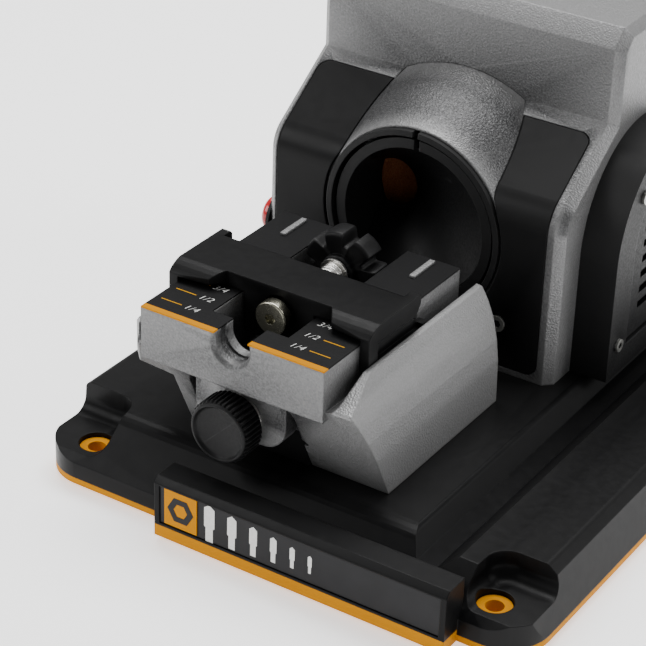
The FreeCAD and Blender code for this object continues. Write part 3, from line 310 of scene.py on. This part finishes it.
def feed_knob():
    """Knurled hand knob with a dished face and a plain hub behind it."""
    (cx, _, cz), front, back = centre_of("feed_knob")
    ridges, per_ridge, radius, hub = 40, 8, 16.6, 11.5
    half_depth, steepness, grip_end = 0.55, 1.8, front + 15

    def knurl(angle):
        wave = steepness * math.cos(ridges * angle)
        return radius - half_depth + half_depth * max(-1.0, min(1.0, wave))

    dish = [(front + 1.8, 0, 0.4), (front + 1.75, 0, radius - 4.2), (front + 1.3, 0, radius - 3.3),
            (front + 0.5, 0, radius - 2.9), (front, 0, radius - 2.4)]
    rim = [(front, 0, radius - 1.7), (front + 0.35, 0, radius - 1.15), (front + 0.8, 0, radius - 0.9)]
    grip = [(front + 1.6, 0.97, 0), (front + 2.2, 1, 0), (front + 13.2, 1, 0), (front + 13.8, 0.97, 0)]
    heel = [(front + 14.6, 0, radius - 1.2), (grip_end, 0, radius - 2), (grip_end + 0.01, 0, hub + 0.1),
            (back - 0.4, 0, hub), (back, 0, hub - 0.4)]
    mesh = bmesh.new()
    turned(mesh, cx, cz, dish + rim + grip + heel, knurl, ridges * per_ridge)
    knob = piece("feed_knob_knurled", mesh, "black_plastic", "feed")
    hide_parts("feed_knob")


def star_knob():
    """Seven soft lobes round a hub, with rounded rims front and back."""
    (cx, _, cz), front, back = centre_of("star_knob")
    lobes, count = 7, 420
    face, outer, root, bore = front + 2.4, 21.0, 15.2, 3.2
    gap, flank, crown = 0.04, 0.38, 0.5

    def lobed(angle):
        wave = 0.5 + 0.5 * math.cos(lobes * angle)
        rise = min(1.0, max(0.0, (wave - gap) / flank))
        return root + (outer - root) * (rise * rise * (3 - 2 * rise)) - crown * (1 - wave)

    hub = [(front, 0, bore), (front, 0, 8.8), (front + 0.5, 0, 9.4), (face + 0.6, 0, 9.5)]
    front_rim = [(face + 0.4, 0.62, 0), (face, 0.9, 0), (face + 0.3, 0.955, 0), (face + 1.2, 0.99, 0),
                 (face + 2.4, 1, 0)]
    back_rim = [(back - 2.4, 1, 0), (back - 1.2, 0.99, 0), (back - 0.3, 0.955, 0), (back, 0.9, 0)]
    mesh = bmesh.new()
    turned(mesh, cx, cz, hub + front_rim + back_rim + [(back, 0, bore)], lobed, count)
    knob = piece("star_knob_lobed", mesh, "black_plastic", "stop")
    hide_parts("star_knob")


def slab(mesh, points, low, high, axis="z"):
    """Extrudes a flat outline between two heights along an axis."""
    def corner(u, v, w):
        return (u, v, w) if axis == "z" else (u, w, v)

    bottom = [mesh.verts.new(corner(u, v, low)) for u, v in points]
    top = [mesh.verts.new(corner(u, v, high)) for u, v in points]
    mesh.faces.new(bottom[::-1])
    mesh.faces.new(top)
    for i in range(len(points)):
        j = (i + 1) % len(points)
        mesh.faces.new((bottom[i], bottom[j], top[j], top[i]))


NUMERAL = dict(size=5.6 * MM, shear=0.25, extrude=0.03 * MM, offset=-0.08 * MM, space_character=1.12)


def numeral(name, text, left, base, top):
    """One printed fraction, lying on the plate and slanting like drawing-office figures."""
    curve = bpy.data.curves.new(name + "_outline", "FONT")
    curve.body = text
    for setting, value in NUMERAL.items():
        setattr(curve, setting, value)
    holder = bpy.data.objects.new(name + "_outline", curve)
    bpy.context.scene.collection.objects.link(holder)
    bpy.context.view_layer.update()
    data = bpy.data.meshes.new_from_object(holder)
    data.name = name
    bpy.data.objects.remove(holder)
    bpy.data.curves.remove(curve)
    data.transform(Matrix.Translation((left * MM, base * MM, (top + 0.02) * MM)))
    data.materials.clear()
    data.materials.append(finishes["white_ink"])
    obj = bpy.data.objects.new(name, data)
    bpy.context.scene.collection.objects.link(obj)
    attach(obj, "block")


# each mark's name, text and Y, then each plate's side, line ends and the text's left edge in X
MARKS = (("quarter", "1/4", -135.0), ("half", "1/2", -123.1), ("three_quarters", "3/4", -111.3))
PLATES = (("left", -80.3, -68.4, -66.6), ("right", 4.5, 16.0, -6.3))
HALF_LINE = 0.3
TEXT_DROP = 1.9


def scale_marks():
    """Gold depth lines with white fractions beside them, on both plates."""
    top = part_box("scale_plate_left")[1][2] / MM
    for side, line_left, line_right, text_left in PLATES:
        mesh = bmesh.new()
        for _, _, y in MARKS:
            line = [(line_left, y - HALF_LINE), (line_right, y - HALF_LINE), (line_right, y + HALF_LINE),
                    (line_left, y + HALF_LINE)]
            slab(mesh, line, top - 0.02, top + 0.04)
        piece(f"depth_lines_{side}", mesh, "gold_ink", "block", smooth=False)
        for label, text, y in MARKS:
            numeral(f"depth_{label}_{side}", text, text_left, y - TEXT_DROP, top)


def badge_emblem():
    """Generic hexagon nut emblem on the badge."""
    low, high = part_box("badge")
    cx, cz = (low[0] + high[0]) / 2 / MM, (low[2] + high[2]) / 2 / MM
    outer, inner, proud, thickness = 7.6, 4.0, 0.12, 0.2
    front = low[1] / MM - proud
    back = front + thickness
    mesh = bmesh.new()

    def hexagon(radius, y):
        corners = [k * math.pi / 3 for k in range(6)]
        return [mesh.verts.new((cx + radius * math.cos(a), y, cz + radius * math.sin(a))) for a in corners]

    rings = [hexagon(outer, front), hexagon(outer, back), hexagon(inner, back), hexagon(inner, front)]
    for one, two in zip(rings, rings[1:] + rings[:1]):
        for k in range(6):
            n = (k + 1) % 6
            mesh.faces.new((one[k], one[n], two[n], two[k]))
    piece("badge_emblem", mesh, "label_black", "base", smooth=False)


def drill_outlines():
    """A row of plain drill outlines on the name plate, from thick to thin."""
    plate_low, plate_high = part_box("name_plate")
    face = plate_low[1] / MM
    middle = (plate_low[2] + plate_high[2]) / 2 / MM
    spacing = 7
    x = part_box("badge")[1][0] / MM + spacing
    mesh = bmesh.new()
    for size in (3.0, 2.6, 2.2, 1.8, 1.4, 1.1):
        long, shank = 4.6 * size ** 0.75, size * 0.7
        outline = [(x - shank, middle - long), (x + shank, middle - long),
                   (x + shank, middle - long * 0.25), (x + size, middle - long * 0.2),
                   (x + size, middle + long * 0.8), (x, middle + long), (x - size, middle + long * 0.8),
                   (x - size, middle - long * 0.2), (x - shank, middle - long * 0.25)]
        slab(mesh, outline, face - 0.06, face + 0.05, axis="y")
        x += size * 2 + spacing
    piece("drill_outlines", mesh, "white_ink", "base", smooth=False)


feed_knob()
star_knob()
scale_marks()
badge_emblem()
drill_outlines()


# ---------------------------------------------------------------- floor, light and camera

def floor():
    """A wide pale floor that glows a little, so that it stays light in the shade."""
    half, glow = 40, 0.9
    corners = [(-half, -half, 0), (half, -half, 0), (half, half, 0), (-half, half, 0)]
    mesh = bpy.data.meshes.new("floor")
    mesh.from_pydata(corners, [], [(0, 1, 2, 3)])
    obj = bpy.data.objects.new("floor", mesh)
    bpy.context.scene.collection.objects.link(obj)
    f = Finish("pale_floor", (0.96, 0.96, 0.96), roughness=0.8, spec=0.1, edge=0)
    f.mix(f.ramp(f.noise(3, 3), 0.0, 0.15), (0.93, 0.93, 0.93))
    f.shader.inputs["Emission Color"].default_value = (1, 1, 1, 1)
    f.shader.inputs["Emission Strength"].default_value = glow
    mesh.materials.append(f.done())


def lamp(name, place, target, size, power):
    """A soft white rectangular light in metres and watts, aimed at a point."""
    data = bpy.data.lights.new(name, "AREA")
    data.shape = "RECTANGLE"
    data.size, data.size_y = size
    data.energy = power
    obj = bpy.data.objects.new(name, data)
    obj.location = place
    aim = Vector(target) - Vector(place)
    obj.rotation_euler = aim.to_track_quat("-Z", "Y").to_euler()
    bpy.context.scene.collection.objects.link(obj)


def camera():
    """Camera in front and to the right of the part, looking down on it."""
    azimuth, elevation, roll = (math.radians(a) for a in (32.19, 29.75, 1.94))
    place = (0.4988, -0.9095, 0.6491)
    right = Vector((math.cos(azimuth), math.sin(azimuth), 0))
    back = Vector((math.sin(azimuth) * math.cos(elevation), -math.cos(azimuth) * math.cos(elevation),
                   math.sin(elevation)))
    up = back.cross(right)
    x_axis = right * math.cos(roll) + up * math.sin(roll)
    y_axis = up * math.cos(roll) - right * math.sin(roll)
    data = bpy.data.cameras.new("view")
    data.lens = 128.9
    data.sensor_width = 36
    obj = bpy.data.objects.new("view", data)
    turn = Matrix((x_axis, y_axis, back)).transposed().to_4x4()
    obj.matrix_world = Matrix.Translation(place) @ turn
    bpy.context.scene.collection.objects.link(obj)
    bpy.context.scene.camera = obj


floor()
camera()
lamp("overhead", (-0.25, 0.45, 1.5), (0, 0, 0.08), (1.3, 0.9), 34)
lamp("front_left", (-1.2, -1.1, 1.0), (0, 0, 0.08), (0.9, 0.9), 15)
lamp("right_back", (1.3, 0.7, 0.9), (0, 0, 0.1), (0.7, 0.9), 12)
world = bpy.data.worlds.new("studio")
world.use_nodes = True
world.node_tree.nodes["Background"].inputs["Color"].default_value = (1, 1, 1, 1)
world.node_tree.nodes["Background"].inputs["Strength"].default_value = 0.38
bpy.context.scene.world = world
